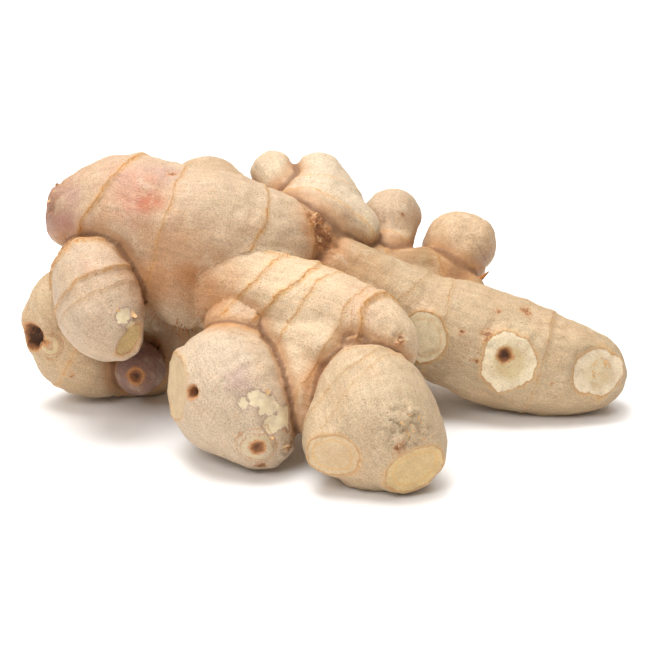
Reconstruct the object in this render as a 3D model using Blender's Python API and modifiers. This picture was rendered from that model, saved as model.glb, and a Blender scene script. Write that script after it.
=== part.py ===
"""A hand of fresh ginger root, lying on its knuckles, as one closed solid.

Run it with blender --background --python part.py. It works in metres, +Z up, with the table at z = 0.
The root is grown the way the real one is: a mother root, with limbs that bud from it and from each
other. Each limb is a chain of beads along a smooth line, all the beads are fused into one skin, and the
places where other fingers were snapped or cut away are sliced flat. Then the root is set down on its
three lowest knuckles.
"""

import math

import bmesh
import bpy
from mathutils import Matrix, Vector

MM = 0.001

OLD_END = Vector((-70, 12, 57))  # where the mother root begins, in millimetres

# How each limb grows: the limb it buds from, how far along that one from 0 to 1, its girth there, and
# its steps. A step is a length, a heading (0 is +X, 90 is +Y), a climb and the girth it grows to.
# Lengths and girths are in millimetres, headings and climbs in degrees.
LIMBS = {
    "mother_root": (None, 0, 26, [
        (10, 0, 0, 35), (8, -15, -12, 37), (10, -10, -10, 37), (12, 0, -5, 35), (11, 10, -15, 31),
        (13, 25, -10, 26),
    ]),
    "mother_shoulder": ("mother_root", 0.1, 18, [(7, 90, 60, 17), (6, -20, -20, 19)]),
    "mother_front": ("mother_root", 0.3, 28, [(9, -100, -50, 28), (9, -20, -40, 25), (8, -20, -50, 20)]),
    "back_bump": ("mother_root", 0.55, 30, [(18, 95, 5, 28), (9, 100, 15, 24)]),
    "left_finger": ("mother_root", 0.1, 20, [
        (15, -95, -55, 23), (7, -90, -15, 25), (7, -80, -40, 26), (7, -70, -45, 23), (6, -35, -35, 15),
    ]),
    "low_knuckle": ("mother_root", 0.4, 27, [
        (19, 100, -70, 27), (14, 75, -75, 25), (13, 170, -50, 25), (10, 205, 5, 25), (11, 205, 10, 25),
        (9, 190, 30, 17), (7, 180, 75, 14),
    ]),
    "knuckle_nub": ("low_knuckle", 1, 15, [(9, -30, 60, 14), (7, -5, 40, 14)]),
    "knuckle_bud": ("low_knuckle", 0.55, 16, [(9, -90, -5, 16), (6, -75, 15, 16)]),
    "front_branch": ("mother_root", 0.6, 24, [
        (16, -95, -62, 24), (8, -35, -5, 27), (15, -25, -5, 27), (14, -25, -10, 26), (13, -30, -20, 22),
        (6, -35, -25, 14),
    ]),
    "front_web": ("front_branch", 0.4, 20, [(11, -100, -45, 20), (11, -25, -10, 19), (11, -35, 0, 19)]),
    "low_web": ("front_web", 0.65, 18, [(14, -75, -35, 18), (9, -80, -50, 13)]),
    "front_left_finger": ("front_branch", 0.35, 18, [
        (20, -105, -38, 24), (12, -100, -38, 34), (6, -50, -30, 31), (9, -40, -42, 22), (4, -10, -30, 14),
    ]),
    "front_right_finger": ("front_branch", 0.8, 20, [
        (15, -93, -41, 20), (8, -72, -30, 31), (9, -72, -36, 35),
    ]),
    "front_right_lobe": ("front_right_finger", 0.9, 26, [(8, -145, -15, 24), (6, -125, -30, 20)]),
    "front_right_tip": ("front_right_finger", 1, 32, [(5, -40, -20, 29), (5, -30, -45, 23)]),
    "knob_branch": ("mother_root", 1, 25, [(11, 72, 22, 29), (9, 80, 27, 25), (6, 95, 52, 19)]),
    "knob_left": ("knob_branch", 0.5, 18, [(9, 155, 25, 18), (12, 125, 30, 14)]),
    "knob_heel": ("knob_branch", 0.35, 24, [(4, 0, 0, 24), (10, -10, -15, 13)]),
    "right_finger": ("mother_root", 1, 22, [
        (14, -15, -40, 24), (13, -15, -25, 25), (13, -5, -30, 29), (13, -5, -20, 32), (14, -5, -20, 33),
        (13, -5, -16, 30), (10, -5, -12, 25), (6, 0, -10, 16),
    ]),
    "back_branch": ("right_finger", 0.2, 20, [
        (7, 90, 0, 20), (14, 15, -10, 23), (13, 10, -10, 22), (8, -10, -15, 16),
    ]),
    "back_right_knob": ("back_branch", 0.8, 20, [(8, 65, 25, 20), (8, 70, 40, 22), (2, 0, 20, 20)]),
    "back_middle_knob": ("back_branch", 0.45, 17, [(7, 90, 45, 17), (8, 85, 30, 16), (8, 85, 45, 18)]),
}

# The knuckles that the root lies on, and how far they give on the table.
RESTS_ON = ("low_knuckle", "front_right_tip", "right_finger")
GIVE = 1.2

# Where other fingers were cut or snapped off: the limb, how far along it, the heading and the climb that
# the flat faces, how deep it bites below the limb's skin, and its reach, in millimetres.
CUT_FACES = {
    "left_finger_tip_cut": ("left_finger", 0.95, -50, -10, 2, 9),
    "front_left_side_cut": ("front_left_finger", 0.6, -160, 5, 2, 12),
    "front_left_tip_cut": ("front_left_finger", 1, -40, -15, 2, 6),
    "front_right_lobe_cut": ("front_right_lobe", 1, -100, -5, 2, 10),
    "front_right_tip_cut": ("front_right_tip", 1, -72, -8, 2, 12),
    "right_finger_near_cut": ("right_finger", 0.5, -100, 5, 1, 8),
    "right_finger_middle_cut": ("right_finger", 0.67, -90, 10, 1, 9),
    "right_finger_tip_cut": ("right_finger", 0.92, -75, 20, 1.5, 8),
}
CUT_CLEARANCE = 8 * MM  # how far each slice reaches out past its flat
CUT_SEGMENTS = 48

TABLE_SIDE = 400 * MM
TABLE_DEPTH = 10 * MM

BEAD_SPACING = 0.16  # of a bead's own radius
BEAD_SUBDIVISIONS = 3
SKIN_VOXEL = 1.5 * MM
SKIN_SMOOTHING = 4
SKIN_SHARE = 0.12  # of the fused skin's triangles, kept in the solid

SKIN_COLOUR = (0.66, 0.49, 0.31, 1.0)
SKIN_ROUGHNESS = 0.6


def way(heading, climb):
    """The unit direction with this heading and climb."""
    heading, climb = math.radians(heading), math.radians(climb)
    level = math.cos(climb)
    return Vector((math.cos(heading) * level, math.sin(heading) * level, math.sin(climb)))


def smooth_point(stations, at):
    """The point at a share 0 to 1 of the span between the middle two of four stations."""
    before, start, end, after = stations
    slope_in = (end - before) / 2
    slope_out = (after - start) / 2
    cubic = 2 * at**3 - 3 * at**2 + 1, at**3 - 2 * at**2 + at, -2 * at**3 + 3 * at**2, at**3 - at**2
    return cubic[0] * start + cubic[1] * slope_in + cubic[2] * end + cubic[3] * slope_out


def beads_along(stations):
    """Beads close enough together to read as one limb: x, y, z and radius."""
    ends = [2 * stations[0] - stations[1], *stations, 2 * stations[-1] - stations[-2]]
    beads = []
    for first in range(len(stations) - 1):
        span = (stations[first + 1].xyz - stations[first].xyz).length
        count = max(2, round(span / (BEAD_SPACING * min(stations[first].w, stations[first + 1].w))))
        beads += [smooth_point(ends[first : first + 4], step / count) for step in range(count)]
    return beads + [stations[-1]]


def bead_at(beads, share):
    return beads[round(share * (len(beads) - 1))]


def grow_limbs():
    """Every limb's beads, in millimetres, each limb starting on the one it buds from."""
    grown = {}
    for name, (parent, share, girth, steps) in LIMBS.items():
        place = OLD_END if parent is None else bead_at(grown[parent], share).xyz
        stations = [Vector((*place, girth / 2))]
        for length, heading, climb, girth in steps:
            place = place + length * way(heading, climb)
            stations.append(Vector((*place, girth / 2)))
        grown[name] = beads_along(stations)
    return grown


def set_down(grown):
    """The beads turned and shifted so that the root lies on its three knuckles, over the origin."""
    for _ in range(3):
        feet = []
        for limb in RESTS_ON:
            lowest = min(grown[limb], key=lambda bead: bead.z - bead.w)
            feet.append(Vector((lowest.x, lowest.y, lowest.z - lowest.w)))
        up = (feet[1] - feet[0]).cross(feet[2] - feet[0])
        turn = (up if up.z > 0 else -up).rotation_difference(Vector((0, 0, 1)))
        drop = (turn @ feet[0]).z + GIVE
        for limb, beads in grown.items():
            grown[limb] = [Vector((*(turn @ bead.xyz - Vector((0, 0, drop))), bead.w)) for bead in beads]
    every = [bead for beads in grown.values() for bead in beads]
    middle = Vector((0, 0, 0))
    for axis in (0, 1):
        low = min(bead[axis] - bead.w for bead in every)
        high = max(bead[axis] + bead.w for bead in every)
        middle[axis] = (low + high) / 2
    for limb, beads in grown.items():
        grown[limb] = [Vector((*(bead.xyz - middle), bead.w)) for bead in beads]
    return grown


def add_bead(mesh, bead):
    place = Matrix.Translation(bead.xyz * MM) @ Matrix.Scale(bead.w * MM, 4)
    bmesh.ops.create_icosphere(mesh, subdivisions=BEAD_SUBDIVISIONS, radius=1.0, matrix=place)


def slice_at(bead, outward, bite, reach):
    """A cutter whose flat end lies just under the limb's skin and that clears everything outside it."""
    mesh = bmesh.new()
    flat = bead.xyz + (bead.w - bite) * outward
    centre = flat * MM + CUT_CLEARANCE / 2 * outward
    turn = outward.to_track_quat("Z", "Y").to_matrix().to_4x4()
    bmesh.ops.create_cone(
        mesh, cap_ends=True, segments=CUT_SEGMENTS, radius1=reach * MM, radius2=reach * MM,
        depth=CUT_CLEARANCE,
        matrix=Matrix.Translation(centre) @ turn,
    )
    return mesh


def table_top():
    """A cutter just under z = 0, which leaves a small flat on each knuckle that the root rests on."""
    mesh = bmesh.new()
    size = Matrix.Diagonal((TABLE_SIDE, TABLE_SIDE, TABLE_DEPTH, 1.0))
    bmesh.ops.create_cube(mesh, size=1.0, matrix=Matrix.Translation((0, 0, -TABLE_DEPTH / 2)) @ size)
    return mesh


def object_from(mesh, name):
    data = bpy.data.meshes.new(name)
    mesh.to_mesh(data)
    mesh.free()
    return bpy.data.objects.new(name, data)


def cut_away(root, name, mesh, cutters):
    cutter = object_from(mesh, name)
    cutter.hide_render = True
    cutter.display_type = "WIRE"
    cutters.objects.link(cutter)
    cut = root.modifiers.new(name, "BOOLEAN")
    cut.operation = "DIFFERENCE"
    cut.object = cutter


def ginger_root(grown):
    mesh = bmesh.new()
    for beads in grown.values():
        for bead in beads:
            add_bead(mesh, bead)
    root = object_from(mesh, "ginger_root")
    fuse = root.modifiers.new("fuse the beads", "REMESH")
    fuse.mode = "VOXEL"
    fuse.voxel_size = SKIN_VOXEL
    soften = root.modifiers.new("soften the skin", "SMOOTH")
    soften.factor = 0.5
    soften.iterations = SKIN_SMOOTHING
    thin = root.modifiers.new("keep fewer faces", "DECIMATE")
    thin.ratio = SKIN_SHARE
    return root


def ginger_skin():
    """The pale tan skin, dry and slightly fibrous."""
    skin = bpy.data.materials.new("ginger_skin")
    skin.use_nodes = True
    shader = skin.node_tree.nodes["Principled BSDF"]
    shader.inputs["Base Color"].default_value = SKIN_COLOUR
    shader.inputs["Roughness"].default_value = SKIN_ROUGHNESS
    shader.inputs["Metallic"].default_value = 0.0
    return skin


def main():
    for old in list(bpy.data.objects):
        bpy.data.objects.remove(old)
    parts = bpy.data.collections.new("ginger_root")
    bpy.context.scene.collection.children.link(parts)
    cutters = bpy.data.collections.new("cutters")
    bpy.context.scene.collection.children.link(cutters)
    grown = set_down(grow_limbs())
    root = ginger_root(grown)
    root.data.materials.append(ginger_skin())
    parts.objects.link(root)
    for name, (limb, share, heading, climb, bite, reach) in CUT_FACES.items():
        outward = way(heading, climb)
        cut_away(root, name, slice_at(bead_at(grown[limb], share), outward, bite, reach), cutters)
    cut_away(root, "table_top", table_top(), cutters)


main()
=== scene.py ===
"""The look of a fresh hand of ginger root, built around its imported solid.

The frame gives the root's solid. The skin is grown again from the same limbs, in fine voxels, and then
gets its scale rings, creases, cut faces, peeled patches and pits. Root hairs and dry flakes stand on it.
"""

import math
import random

import bmesh
import bpy
import numpy as np
from bpy.props import FloatProperty, FloatVectorProperty, IntProperty, PointerProperty
from bpy.types import Operator, Panel, PropertyGroup
from mathutils import Matrix, Vector, noise
from mathutils.bvhtree import BVHTree


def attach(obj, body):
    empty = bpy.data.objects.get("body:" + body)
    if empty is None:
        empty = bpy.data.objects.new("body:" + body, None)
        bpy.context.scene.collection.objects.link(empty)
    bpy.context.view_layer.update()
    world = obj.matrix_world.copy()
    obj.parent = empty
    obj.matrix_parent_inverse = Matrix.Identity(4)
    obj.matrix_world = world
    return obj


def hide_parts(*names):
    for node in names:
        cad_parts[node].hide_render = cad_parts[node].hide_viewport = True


bl_info = {
    "name": "Ginger root",
    "version": (1, 0, 0),
    "blender": (4, 5, 0),
    "location": "View3D > Sidebar > Ginger",
    "description": "Grows the skin of a hand of ginger and lights it",
    "category": "Object",
}

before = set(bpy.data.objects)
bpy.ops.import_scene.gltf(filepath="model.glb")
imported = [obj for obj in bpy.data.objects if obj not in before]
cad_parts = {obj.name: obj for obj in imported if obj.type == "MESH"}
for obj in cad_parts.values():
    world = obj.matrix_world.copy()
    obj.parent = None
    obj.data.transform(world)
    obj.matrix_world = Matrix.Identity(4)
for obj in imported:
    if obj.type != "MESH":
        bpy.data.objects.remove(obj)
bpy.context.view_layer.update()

MM = 0.001

OLD_END = Vector((-70, 12, 57))  # where the mother root begins, in millimetres

# How each limb grows: the limb it buds from, how far along that one from 0 to 1, its girth there, and
# its steps. A step is a length, a heading (0 is +X, 90 is +Y), a climb and the girth it grows to.
# Lengths and girths are in millimetres, headings and climbs in degrees.
LIMBS = {
    "mother_root": (None, 0, 26, [
        (10, 0, 0, 35), (8, -15, -12, 37), (10, -10, -10, 37), (12, 0, -5, 35), (11, 10, -15, 31),
        (13, 25, -10, 26),
    ]),
    "mother_shoulder": ("mother_root", 0.1, 18, [(7, 90, 60, 17), (6, -20, -20, 19)]),
    "mother_front": ("mother_root", 0.3, 28, [(9, -100, -50, 28), (9, -20, -40, 25), (8, -20, -50, 20)]),
    "back_bump": ("mother_root", 0.55, 30, [(18, 95, 5, 28), (9, 100, 15, 24)]),
    "left_finger": ("mother_root", 0.1, 20, [
        (15, -95, -55, 23), (7, -90, -15, 25), (7, -80, -40, 26), (7, -70, -45, 23), (6, -35, -35, 15),
    ]),
    "low_knuckle": ("mother_root", 0.4, 27, [
        (19, 100, -70, 27), (14, 75, -75, 25), (13, 170, -50, 25), (10, 205, 5, 25), (11, 205, 10, 25),
        (9, 190, 30, 17), (7, 180, 75, 14),
    ]),
    "knuckle_nub": ("low_knuckle", 1, 15, [(9, -30, 60, 14), (7, -5, 40, 14)]),
    "knuckle_bud": ("low_knuckle", 0.55, 16, [(9, -90, -5, 16), (6, -75, 15, 16)]),
    "front_branch": ("mother_root", 0.6, 24, [
        (16, -95, -62, 24), (8, -35, -5, 27), (15, -25, -5, 27), (14, -25, -10, 26), (13, -30, -20, 22),
        (6, -35, -25, 14),
    ]),
    "front_web": ("front_branch", 0.4, 20, [(11, -100, -45, 20), (11, -25, -10, 19), (11, -35, 0, 19)]),
    "low_web": ("front_web", 0.65, 18, [(14, -75, -35, 18), (9, -80, -50, 13)]),
    "front_left_finger": ("front_branch", 0.35, 18, [
        (20, -105, -38, 24), (12, -100, -38, 34), (6, -50, -30, 31), (9, -40, -42, 22), (4, -10, -30, 14),
    ]),
    "front_right_finger": ("front_branch", 0.8, 20, [
        (15, -93, -41, 20), (8, -72, -30, 31), (9, -72, -36, 35),
    ]),
    "front_right_lobe": ("front_right_finger", 0.9, 26, [(8, -145, -15, 24), (6, -125, -30, 20)]),
    "front_right_tip": ("front_right_finger", 1, 32, [(5, -40, -20, 29), (5, -30, -45, 23)]),
    "knob_branch": ("mother_root", 1, 25, [(11, 72, 22, 29), (9, 80, 27, 25), (6, 95, 52, 19)]),
    "knob_left": ("knob_branch", 0.5, 18, [(9, 155, 25, 18), (12, 125, 30, 14)]),
    "knob_heel": ("knob_branch", 0.35, 24, [(4, 0, 0, 24), (10, -10, -15, 13)]),
    "right_finger": ("mother_root", 1, 22, [
        (14, -15, -40, 24), (13, -15, -25, 25), (13, -5, -30, 29), (13, -5, -20, 32), (14, -5, -20, 33),
        (13, -5, -16, 30), (10, -5, -12, 25), (6, 0, -10, 16),
    ]),
    "back_branch": ("right_finger", 0.2, 20, [
        (7, 90, 0, 20), (14, 15, -10, 23), (13, 10, -10, 22), (8, -10, -15, 16),
    ]),
    "back_right_knob": ("back_branch", 0.8, 20, [(8, 65, 25, 20), (8, 70, 40, 22), (2, 0, 20, 20)]),
    "back_middle_knob": ("back_branch", 0.45, 17, [(7, 90, 45, 17), (8, 85, 30, 16), (8, 85, 45, 18)]),
}

# The knuckles that the root lies on, and how far they give on the table.
RESTS_ON = ("low_knuckle", "front_right_tip", "right_finger")
GIVE = 1.2
ROUNDS_TO_SETTLE = 3

BEAD_SPACING = 0.16  # of a bead's own radius
BEAD_SUBDIVISIONS = 3
REACH_OF_A_SPOT = 1.3  # of the limb's own radius, to where a mark may sit

FAR = 9.0  # from a mark, in millimetres, where it no longer shows
COLOUR_BLUR = 1.6  # over which the limbs' colours run into each other, in millimetres
SEED_STEP = 17.3  # that sets the noise of one seed apart from the next one's

# Limbs that only fill out another one, and take its rings, fibres and colour.
PART_OF = {
    "mother_shoulder": "mother_root",
    "mother_front": "mother_root",
    "knuckle_nub": "low_knuckle",
    "front_web": "front_branch",
    "low_web": "front_branch",
    "front_right_lobe": "front_right_finger",
    "front_right_tip": "front_right_finger",
    "knob_heel": "knob_branch",
}

# How much of a limb still belongs to the limb it buds from, before its own skin starts.
SKIN_STARTS = {
    "front_left_finger": 0.35,
    "front_right_finger": 0.25,
    "left_finger": 0.15,
}

# Limbs that run on into another with no fold between them.
RUNS_INTO = {
    "front_branch": "mother_root",
    "back_bump": "mother_root",
    "back_branch": "right_finger",
}


def hue(text):
    """A colour written the way a paint shop writes it, as the linear red, green and blue."""
    parts = [int(text[at : at + 2], 16) / 255 for at in (0, 2, 4)]
    return tuple(part / 12.92 if part <= 0.04045 else ((part + 0.055) / 1.055) ** 2.4 for part in parts)


BEIGE = hue("CAB092")
STRAW = hue("D8BE9C")
PINK = hue("C6907A")
LILAC = hue("A98484")
ORANGE = hue("B87A45")
RUST = hue("B9653F")
BROWN = hue("6E4426")
CREAM = hue("DCCAA6")

# The skin's own colour on each limb, darkened on the back bump and the back branch as painted shade.
LIMB_COLOURS = {
    "mother_root": BEIGE,
    # Painted shade: the back bump is darker because it lies in shade.
    "back_bump": hue("C0A382"),
    "left_finger": hue("C7B096"),
    "low_knuckle": hue("C8AC88"),
    "knuckle_bud": hue("8A6C62"),
    "front_branch": STRAW,
    "front_left_finger": hue("CBB59A"),
    "front_right_finger": hue("C5AD8C"),
    "knob_branch": hue("D6C2A6"),
    "knob_left": hue("D2BEA0"),
    "right_finger": hue("C3A986"),
    # Partly its own browner skin and partly painted shadow from the knob branch above.
    "back_branch": hue("9F7C50"),
    "back_right_knob": hue("CFB08C"),
    "back_middle_knob": BEIGE,
}

# Places on the skin are given by the limb, how far along it from 0 to 1, and the heading and the climb of
# the way from the limb's middle out to the skin, in degrees. Reaches, depths and heights are in millimetres.

# Where the scale leaves ended, on each limb: how far along it, how the ring is turned and tipped off
# square, how far the scale stands proud, how deep its waist is, and how golden the edge is.
RINGS = [
    ("mother_root", [
        (0.1, -25, -30, 0.9, 0.2, 0.8), (0.42, 0, -5, 0.3, 0.3, 0.5), (0.64, 10, -20, 0.4, 0.4, 0.8),
        (0.86, 15, 0, 0.4, 0.4, 0.6),
    ]),
    ("front_branch", [
        (0.2, -40, 20, 0.4, 0.4, 0.6), (0.33, 0, -35, 0.5, 0.5, 0.8), (0.46, 0, -40, 0.6, 0.5, 0.9),
        (0.6, -10, -10, 0.3, 0.3, 0.6), (0.76, 0, 5, 0.3, 0.2, 0.4), (0.92, 0, 35, 1, 0.1, 1),
    ]),
    ("left_finger", [
        (0.2, 0, 0, 2, 0.3, 1), (0.36, 0, 10, 1.8, 0.3, 1), (0.5, 10, 8, 1.2, 0.2, 0.9),
        (0.64, 20, 5, 0.8, 0.2, 0.6), (0.74, 20, 0, 0.3, 0.1, 0.2),
    ]),
    ("front_left_finger", [(0.4, 0, 0, 0.5, 0.4, 0.6), (0.52, 0, 10, 0.2, 0.2, 0.2)]),
    ("front_right_finger", [
        (0.45, 0, 0, 0.4, 0.5, 0.3), (0.66, 20, 0, 0.4, 0.6, 0.25), (0.86, 35, 15, 0.2, 0.2, 0.2),
    ]),
    ("right_finger", [
        (0.36, -10, -20, 0.2, 0.2, 0.2), (0.52, 0, 0, 0.4, 0.2, 0.3), (0.78, 0, 0, 0.4, 0.3, 0.3),
    ]),
    ("back_branch", [(0.4, 0, 0, 0.4, 0.4, 0.6), (0.85, 20, 30, 0.4, 0.3, 0.6)]),
    ("back_right_knob", [(0.5, 0, 30, 0.4, 0.4, 0.5)]),
    ("back_middle_knob", [(0.45, 0, 0, 0.4, 0.4, 0.6)]),
    ("knob_branch", [(0.3, 0, 0, 0.6, 0.3, 0.7), (0.68, 0, 0, 0.5, 0.3, 0.5)]),
    ("low_knuckle", [(0.6, 0, 0, 0.3, 0.4, 0.4), (0.78, 0, 0, 0.4, 0.4, 0.5)]),
    ("back_bump", [(0.6, 0, 0, 0.3, 0.3, 0.4)]),
]

# Flat faces where a finger was cut or snapped off: the place, how deep it bites, its half width and half
# height, the turn of the oval in degrees, its colour and its style.
CUT_FACES = [
    ("left_finger", 0.95, -50, -10, 2, (3, 5), -40, hue("CDB27E"), "smooth"),
    ("front_left_finger", 0.6, -160, 5, 2, (9, 9), 0, hue("CBB28C"), "smooth"),
    ("front_right_lobe", 1, -100, -5, 2, (7, 6), -10, hue("D0B690"), "ringed"),
    ("front_right_tip", 1, -72, -8, 2, (8.5, 6), 25, hue("D2B684"), "ringed"),
    ("right_finger", 0.5, -100, 5, 1, (6.5, 7.5), 10, hue("E8D6B2"), "pale"),
    ("right_finger", 0.68, -90, 10, 0.6, (8, 8.5), 0, hue("E4D4B4"), "porous"),
    ("right_finger", 0.92, -75, 20, 1.5, (7.5, 7), 20, hue("DDCBAE"), "scarred"),
]
POROUS = {"porous": 1.0, "scarred": 0.5}  # how much pith and pores a style shows
BANDED = {"ringed": 1.0, "pale": 0.7}  # how much it shows the golden ring inside its edge
PITH_LIFT = 0.5  # by which a porous face stands out
OVAL_EDGE = 10  # what the paint reads at the edge of a face, from 0 at its middle

# Places where the thin skin has rubbed off and the cream flesh shows, and their reach.
PEELED = [
    ("front_left_finger", [
        (0.78, -60, 30, 3.2), (0.78, -75, 38, 2.6), (0.8, -40, 20, 3), (0.82, -60, 15, 2.8),
        (0.76, -92, 34, 1.8),
    ]),
    ("left_finger", [(0.86, -55, 25, 2.2), (0.9, -45, 10, 1.8)]),
    ("front_right_finger", [(1, -120, 0, 1.2)]),
]

# Holes and pits: the place, reach and depth.
PITS = [
    ("front_left_finger", 0.6, -120, 12, 1.9, 2.6),
    ("low_knuckle", 0.92, -130, 8, 4.2, 3),
    ("right_finger", 0.68, -94, 17, 2.3, 1.4),
    ("front_left_finger", 0.86, -90, 0, 2.2, 0.9),
    ("low_knuckle", 0.85, -110, 20, 1.2, 0.6),
    ("knuckle_bud", 1, -90, 5, 2.2, 0.8),
]

# Round eyes of buds that never grew: the place, reach and height.
BUD_EYES = [
    ("front_left_finger", 0.86, -90, 0, 5, 0.6),
    ("low_knuckle", 0.8, -110, 20, 3.4, 0.5),
]

# Brown marks and tears in the skin: the place, reach and strength.
STAINS = [
    ("left_finger", [(0.28, -100, 40, 1.2, 1), (0.3, -170, 30, 1.8, 0.9)]),
    ("mother_root", [(0.42, -80, 75, 2, 0.8), (1, -60, 50, 4, 0.9)]),
    ("front_branch", [(0.95, -60, 35, 2.2, 0.9), (1, -50, 0, 1.6, 0.8)]),
    ("front_web", [(0.8, -75, 10, 2.4, 0.6)]),
    ("front_left_finger", [(0.78, -40, 0, 1.8, 1), (0.92, -100, -40, 2, 1), (0.95, -40, -10, 2.2, 0.7)]),
    ("right_finger", [
        (0.72, -80, 75, 2.4, 0.8), (0.66, -90, 60, 1.6, 0.7), (0.66, -102, 32, 2.6, 0.8),
        (0.6, -100, 25, 1.2, 0.8), (0.62, -95, 0, 1.1, 0.8), (0.8, -90, 0, 1, 0.8),
        (0.97, -50, 0, 2.6, 0.5), (0.08, -80, 50, 5, 0.9),
    ]),
    ("back_middle_knob", [(0.3, -90, 20, 2, 0.9), (0.6, -120, 20, 1.2, 0.7), (0.9, -60, 40, 1, 0.7)]),
    ("back_right_knob", [(0.5, -100, 20, 0.9, 0.8), (0.9, -130, 20, 0.8, 0.8), (0.8, -30, 10, 1.6, 0.6)]),
    ("knuckle_bud", [(1, -90, 5, 3.2, 0.6)]),
    ("front_right_tip", [(0.95, -95, 25, 2.6, 0.7)]),
    ("low_knuckle", [(0.72, -100, -10, 1.3, 0.6)]),
    ("knob_branch", [(0.9, -90, 30, 0.7, 0.7)]),
]
SPECKLES = 170  # small brown specks besides, scattered anywhere
SPECKLE_SEED = 7

# Washes of colour in the skin, some of them painted shade: the place, reach, colour and strength.
WASHES = [
    ("mother_root", [
        (0.32, -90, 36, 6, RUST, 1), (0.25, -90, 50, 11, PINK, 0.7), (0.42, -90, 75, 5, LILAC, 0.5),
        (0.04, -125, 0, 6, LILAC, 1), (0.06, -140, 35, 5, LILAC, 0.6), (0.15, -100, 15, 5, ORANGE, 0.4),
        (0, 180, 30, 14, ORANGE, 0.6), (0, 180, -20, 10, ORANGE, 0.6), (0, -150, 15, 8, BROWN, 0.35),
        (0, 150, 30, 8, LILAC, 0.5), (0, -170, 0, 8, LILAC, 0.5), (0.38, -90, 0, 10, ORANGE, 0.5),
    ]),
    ("mother_front", [(0.6, -90, 0, 10, ORANGE, 0.7), (0.2, -110, 0, 5, BROWN, 0.5)]),
    ("left_finger", [(0.62, -100, 50, 3, PINK, 0.5)]),
    ("knuckle_nub", [(0.5, -120, 20, 5, CREAM, 0.5)]),
    ("front_branch", [
        (0.25, -120, 20, 10, ORANGE, 0.7), (0.3, -100, -10, 7, ORANGE, 0.8), (0.8, -80, 60, 6, PINK, 0.4),
    ]),
    ("front_left_finger", [(0.35, -110, 40, 5, ORANGE, 0.5), (0.72, -90, 45, 4, LILAC, 0.5)]),
    ("low_web", [(0.4, -60, 0, 6, ORANGE, 0.8)]),
    # The brown washes on the low knuckle are partly its brown skin and partly painted shade in the gap under
    # the mother root.
    ("low_knuckle", [(0.25, -100, 0, 10, BROWN, 0.5), (0.4, -90, 20, 8, BROWN, 0.5)]),
    # The second wash, a dull brown on the right finger near its base, is painted shadow cast by the knob
    # branch above.
    ("right_finger", [(0.15, -90, 40, 8, ORANGE, 0.6), (0.25, -90, 45, 10, hue("A88254"), 0.8)]),
    ("knob_heel", [(1, -60, 20, 4, CREAM, 0.8)]),
    ("mother_root", [(1, -70, 40, 6, ORANGE, 0.8)]),
    ("knob_left", [(0.5, -120, 20, 4, ORANGE, 0.6)]),
    ("back_middle_knob", [(0.8, -60, 10, 3, CREAM, 0.6), (0.15, -90, 10, 5, BROWN, 0.7)]),
    ("back_right_knob", [(0.7, -40, 0, 4, LILAC, 0.5)]),
    ("knuckle_bud", [(1, -90, 5, 9, hue("7A5A5C"), 0.6), (1, -90, 5, 2.5, ORANGE, 0.8)]),
    ("right_finger", [(0.68, -90, 12, 12, CREAM, 0.5)]),
    ("front_right_tip", [(0.6, -70, 50, 6, CREAM, 0.4)]),
]

# Root hairs: the place, how widely they scatter in degrees, how many, and their length.
HAIRS = [
    ("low_knuckle", [(0.25, -100, 0, 25, 24, 5)]),
    ("mother_front", [(0.9, -80, -60, 20, 16, 3.5)]),
    ("front_left_finger", [(0.05, -170, 10, 20, 10, 3)]),
    ("mother_root", [(1, -60, 40, 15, 12, 3)]),
    ("back_middle_knob", [(0.15, -70, 10, 20, 8, 3)]),
    ("left_finger", [(0.1, -20, 20, 15, 6, 3)]),
    ("low_knuckle", [(0.93, -150, 0, 20, 8, 2.5)]),
]
HAIR_SEED = 11
HAIR_RADIUS = 0.13 * MM
HAIR_POINTS = (0, 0.3, 0.6, 1)  # shares of its length
HAIR_ROOT = 0.3 * MM  # of it inside the skin
THORN_HEADING, THORN_CLIMB = 20, 35
THORN_POINTS = (0.8, 1, 1.15, 1.3)  # of the limb's radius, from its middle
THORN_RADIUS = 0.9 * MM
TAPER = 0.85  # of a tube's width, lost at its tip

FLAKES = 50  # where the skin is torn or rubbed
FLAKE_SEED = 3
FLAKE_THICKNESS = 0.08 * MM
FLAKE_ROOT = 0.1 * MM  # of it inside the skin
FLAKE_TAPER = 0.6  # of its width, lost at its far edge

# Rough places, with wrinkled, torn or scaly skin, and their reach.
ROUGH_PLACES = [
    ("front_right_tip", [(0.7, -80, 40, 8)]),
    ("front_left_finger", [(0.95, -40, -10, 4)]),
    ("mother_root", [(1, -60, 50, 5), (0, 180, 20, 9)]),
    ("right_finger", [(0.1, -80, 50, 5), (0.92, -75, 20, 6)]),
    ("back_middle_knob", [(0.3, -90, 20, 4)]),
    ("low_knuckle", [(0.92, -130, 5, 4.5)]),
    ("front_branch", [(0.95, -60, 35, 3)]),
]

# The studio: a white floor, two soft lights and a wide ceiling, in metres.
FLOOR_REACH = 4.0
FLOOR_CLOUD = 400.0  # the size of its faint clouds, in millimetres
FLOOR_WHITES = (0.93, 0.93, 0.93), (0.95, 0.95, 0.95)
WARM_WHITE = (1.0, 0.9, 0.82, 1.0)
OVERHEAD = Vector((-0.15, 0.08, 0.8))
FRONT_FILL = Vector((-0.4, -0.7, 0.75))
CEILING = Vector((0, 0.6, 2.2))
SOFTBOX_WIDTH = 0.5
CEILING_WIDTH = 3.0
SENSOR_WIDTH = 36  # in millimetres


def rows(table):
    """Each row of a table that is grouped by limb, with the limb in front."""
    return [(limb, *row) for limb, group in table for row in group]


def way(heading, climb):
    """The unit direction with this heading and climb."""
    heading, climb = math.radians(heading), math.radians(climb)
    level = math.cos(climb)
    return Vector((math.cos(heading) * level, math.sin(heading) * level, math.sin(climb)))


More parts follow.
